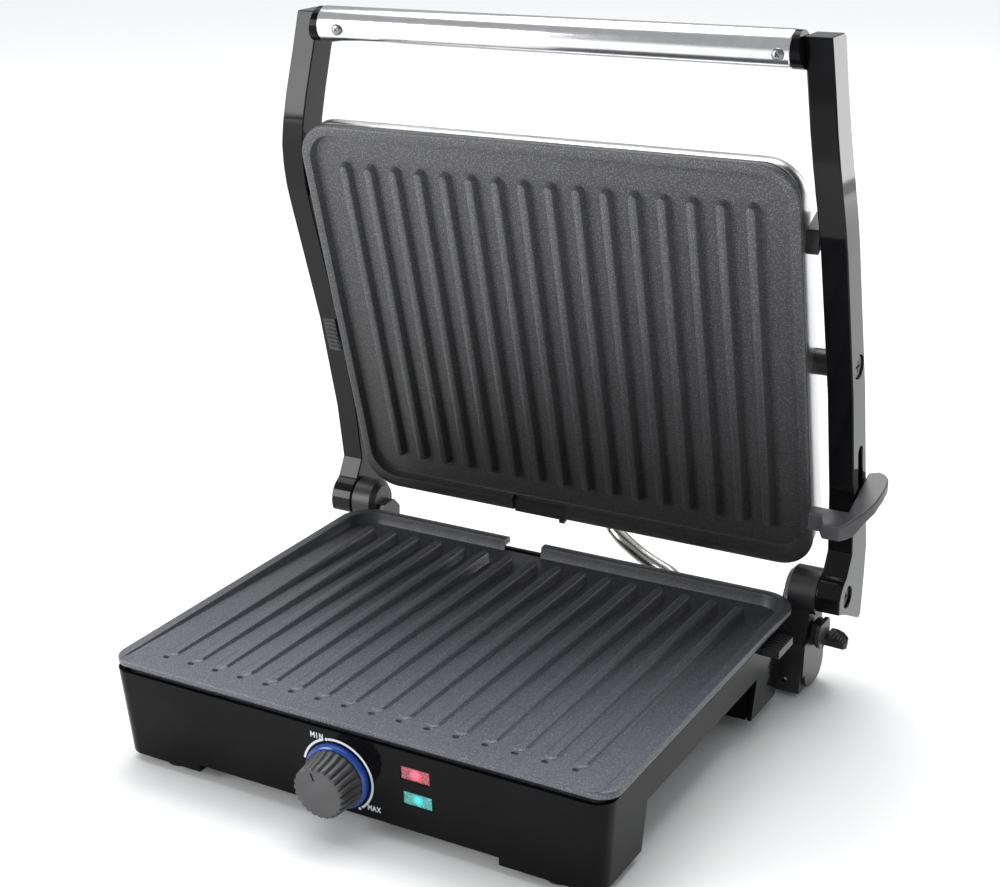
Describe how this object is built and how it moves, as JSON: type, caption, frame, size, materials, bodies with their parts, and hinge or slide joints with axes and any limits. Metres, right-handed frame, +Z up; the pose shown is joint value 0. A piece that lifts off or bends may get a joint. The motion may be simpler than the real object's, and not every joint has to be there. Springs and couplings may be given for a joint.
{
  "type": "panini press",
  "caption": "Contact grill with ribbed cooking plates, a lid floating on side arms, a bar handle, a rotary temperature knob and a sliding latch.",
  "frame": {"origin": "on the table under the middle of the whole press's box, lid open", "axes": "+X to the user's right, +Y to the back, +Z up"},
  "size_m": [0.345, 0.329, 0.3696],
  "materials": {
    "gloss_black": "high gloss",
    "black_steel": "satin",
    "zinc": "zinc plated",
    "foot_rubber": "matt",
    "lower_coating": "speckled non-stick coating",
    "upper_coating": "speckled non-stick coating",
    "reflector": "bright rolled",
    "heater_steel": "oxidised",
    "bimetal": "plain",
    "knob_grey": "fine texture",
    "blue_ring": "glossy",
    "white_print": "printed",
    "red_lens": "clear red",
    "green_lens": "clear green",
    "lamp_glass": "clear",
    "board": "phenolic",
    "ceramic": "unglazed ceramic",
    "gland_black": "soft",
    "conduit_steel": "flexible metal hose",
    "bracket_grey": "fine texture",
    "pin_steel": "turned",
    "lever_grey": "fine texture",
    "button_black": "satin",
    "handle_steel": "polished",
    "latch_grey": "satin grey",
    "brushed_steel": "brushed",
    "frame_black": "satin"
  },
  "bodies": {
    "base": {"base_housing": "gloss_black", "bottom_cover": "black_steel", "cover_screws": "zinc", "rubber_feet": "foot_rubber", "lower_plate": "lower_coating", "lower_reflector": "reflector", "lower_element": "heater_steel", "thermostat": "bimetal", "dial_ring": "blue_ring", "dial_marks": "white_print", "red_lens": "red_lens", "green_lens": "green_lens", "indicator_lamps": "lamp_glass", "lamp_holder": "board", "terminal_block": "ceramic", "cord_gland": "gland_black", "conduit_gland_base": "gland_black", "conduit_lower": "conduit_steel", "hinge_bracket_left": "bracket_grey", "hinge_bracket_right": "bracket_grey", "hinge_pin_left": "pin_steel", "hinge_pin_right": "pin_steel", "release_pin": "pin_steel"},
    "arms": {"arm_left": "gloss_black", "arm_right": "gloss_black", "handle_tube": "handle_steel", "handle_end_left": "gloss_black", "handle_end_right": "gloss_black", "handle_screws": "zinc"},
    "lid": {"lid_cover": "brushed_steel", "lid_frame": "frame_black", "lid_screws": "zinc", "upper_plate": "upper_coating", "upper_reflector": "reflector", "upper_element": "heater_steel", "thermal_fuse": "ceramic", "tilt_stop_left": "frame_black", "tilt_stop_right": "frame_black", "pivot_pin_left": "pin_steel", "pivot_pin_right": "pin_steel", "conduit_gland_lid": "gland_black", "conduit_upper": "conduit_steel"},
    "knob": {"control_knob": "knob_grey", "thermostat_shaft": "zinc"},
    "latch": {"latch_lever": "latch_grey", "latch_rivet": "pin_steel"},
    "release": {"release_lever": "lever_grey"},
    "lower_button": {"lower_plate_button": "button_black"},
    "upper_button": {"upper_plate_button": "lever_grey"}
  },
  "joints": [
    {"name": "arm_hinge", "type": "hinge", "parent": "base", "child": "arms", "pos_m": [-0.0065, 0.11648, 0.059], "axis": [-1, 0, 0], "range_deg": [-72, 0]},
    {"name": "lid_tilt", "type": "hinge", "parent": "arms", "child": "lid", "pos_m": [-0.0065, 0.10178, 0.1962], "axis": [1, 0, 0], "range_deg": [0, 10]},
    {"name": "knob_turn", "type": "hinge", "parent": "base", "child": "knob", "pos_m": [-0.0091, -0.14476, 0.0296], "axis": [0, 0.9975, 0.0705], "range_deg": [0, 164]},
    {"name": "latch_slide", "type": "slide", "parent": "arms", "child": "latch", "axis": [0, -0.2419, 0.9703], "range_m": [0, 0.014]},
    {"name": "release_turn", "type": "hinge", "parent": "base", "child": "release", "pos_m": [0.1465, 0.11298, 0.0365], "axis": [-1, 0, 0], "range_deg": [0, 20], "stiffness_Nm_per_rad": 0.05},
    {"name": "lower_button_press", "type": "slide", "parent": "base", "child": "lower_button", "axis": [-1, 0, 0], "range_m": [0, 0.0025], "stiffness_N_per_m": 300},
    {"name": "upper_button_press", "type": "slide", "parent": "lid", "child": "upper_button", "axis": [1, 0, 0], "range_m": [0, 0.0025], "stiffness_N_per_m": 300}
  ]
}
